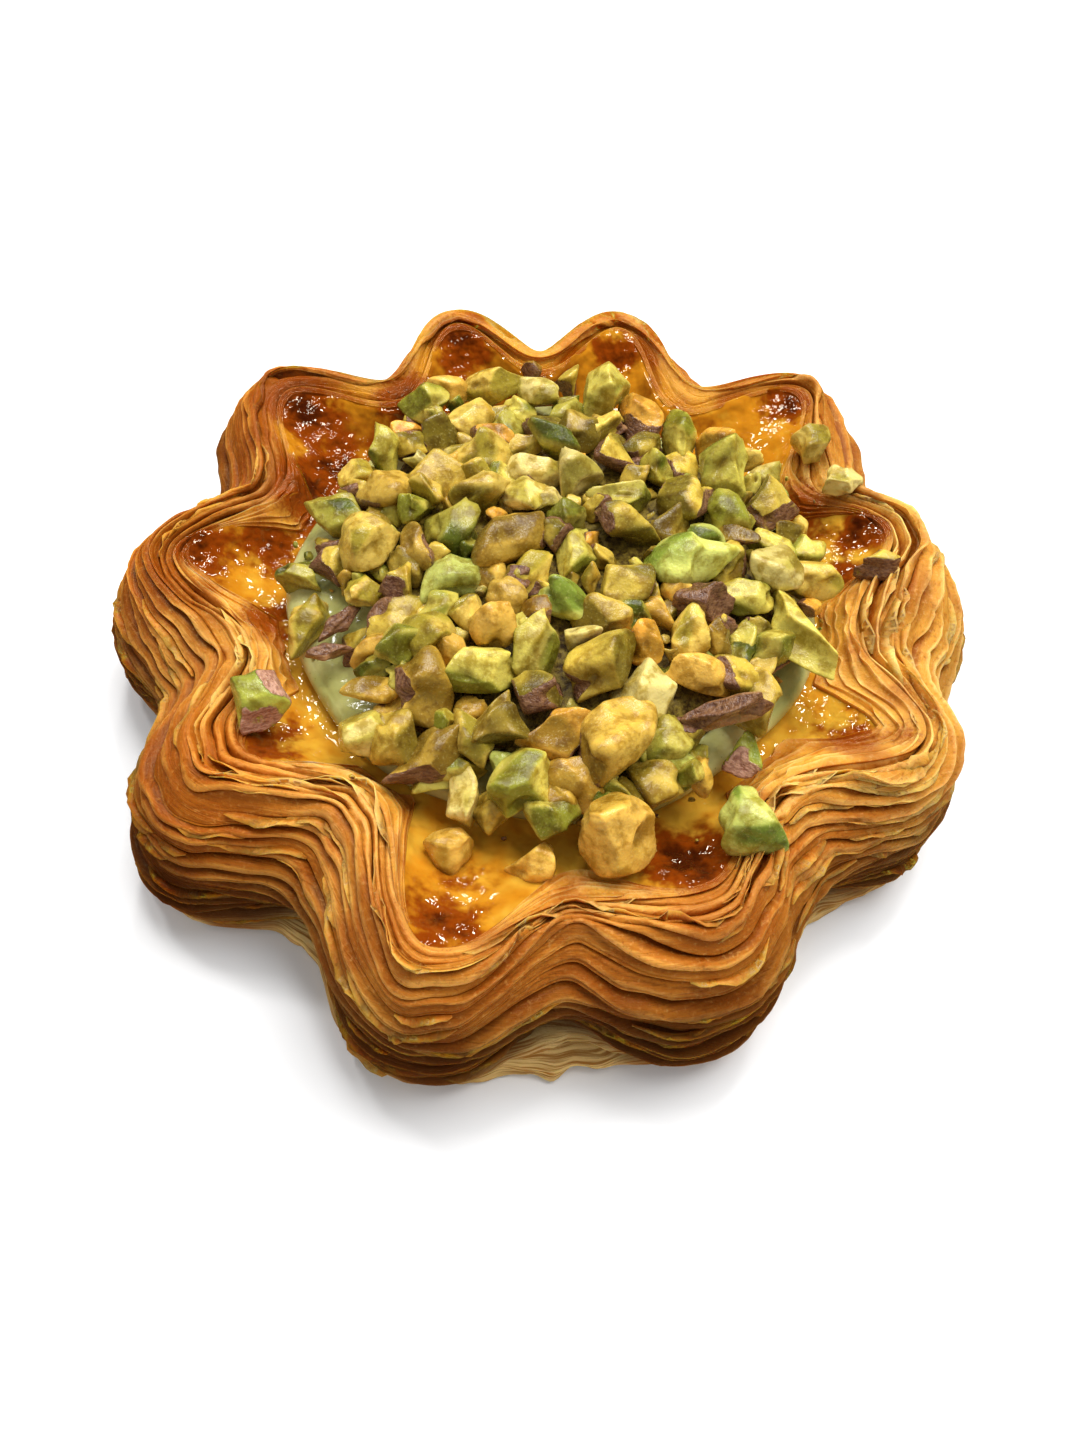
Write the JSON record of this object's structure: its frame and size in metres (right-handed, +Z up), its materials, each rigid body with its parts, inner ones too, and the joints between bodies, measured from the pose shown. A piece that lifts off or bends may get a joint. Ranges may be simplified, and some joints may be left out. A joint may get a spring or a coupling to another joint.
{
  "type": "egg tart",
  "caption": "Round egg tart with a wavy, flaky laminated crust, baked custard, a disc of pale green cream and a heap of chopped nuts.",
  "frame": {"origin": "on the table, under the middle of the tart's box", "axes": "+Z up, +Y towards the back as served, X and Y level; the tart is nearly round and has no symmetry axis"},
  "size_m": [0.1023, 0.1058, 0.0264],
  "materials": {
    "baked_pastry": "baked laminated pastry, golden ridges over brown grooves",
    "glazed_custard": "glossy baked custard with dark caramel patches",
    "pale_green_cream": "smooth glossy cream",
    "chopped_nut": "freshly chopped nut, yellow-green cut faces and brown skin"
  },
  "bodies": {
    "root": {"pastry_crust": "baked_pastry", "egg_custard": "glazed_custard", "pistachio_cream": "pale_green_cream", "chopped_pistachios": "chopped_nut"}
  },
  "joints": []
}
